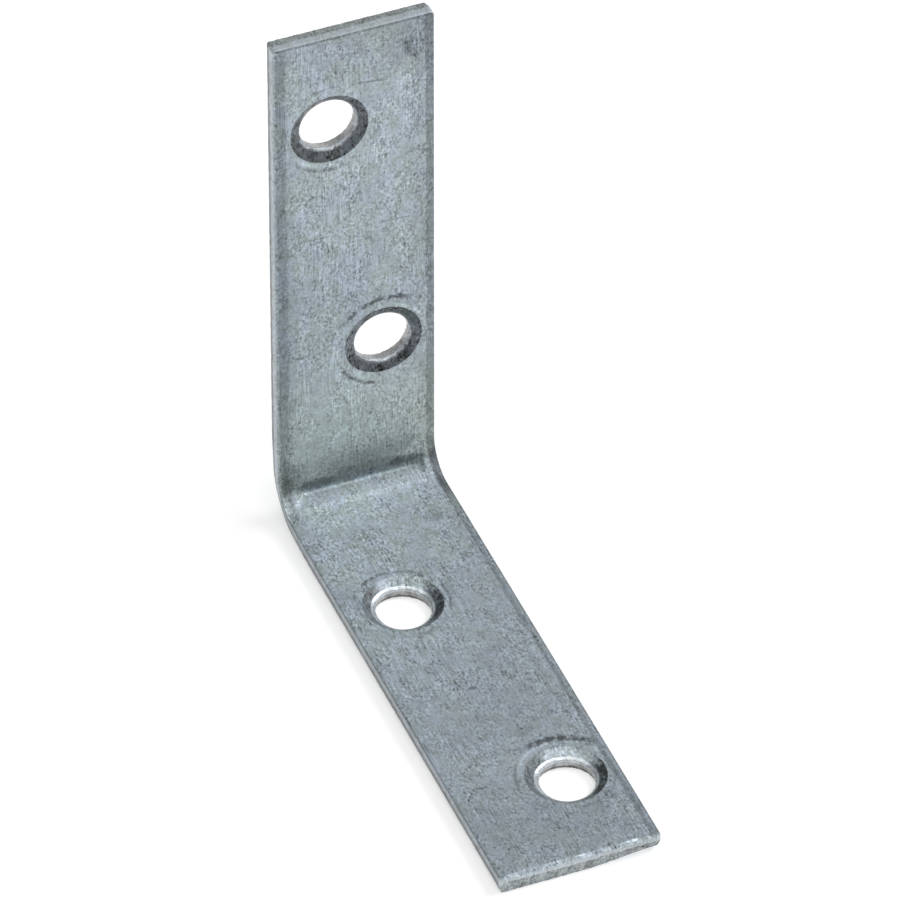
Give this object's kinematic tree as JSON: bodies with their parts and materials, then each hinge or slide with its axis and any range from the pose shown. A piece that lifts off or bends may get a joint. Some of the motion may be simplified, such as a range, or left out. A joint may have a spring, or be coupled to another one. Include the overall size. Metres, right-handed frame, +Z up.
{
  "type": "corner brace bracket",
  "caption": "Flat steel strip bent square into an L, with staggered countersunk screw holes in each leg, for fixing two boards in their inside corner.",
  "frame": {"origin": "the heel, where the two outer faces would meet in a sharp corner, at mid width", "axes": "+Z up along the outer face of the upright leg, +X along the outer face of the foot leg, Y across the strip's width"},
  "size_m": [0.0504, 0.014, 0.0496],
  "materials": {
    "galvanised_steel": "galvanised, matt, bluish grey, with fine mottling and rolling streaks"
  },
  "bodies": {
    "root": {"bracket": "galvanised_steel"}
  },
  "joints": []
}
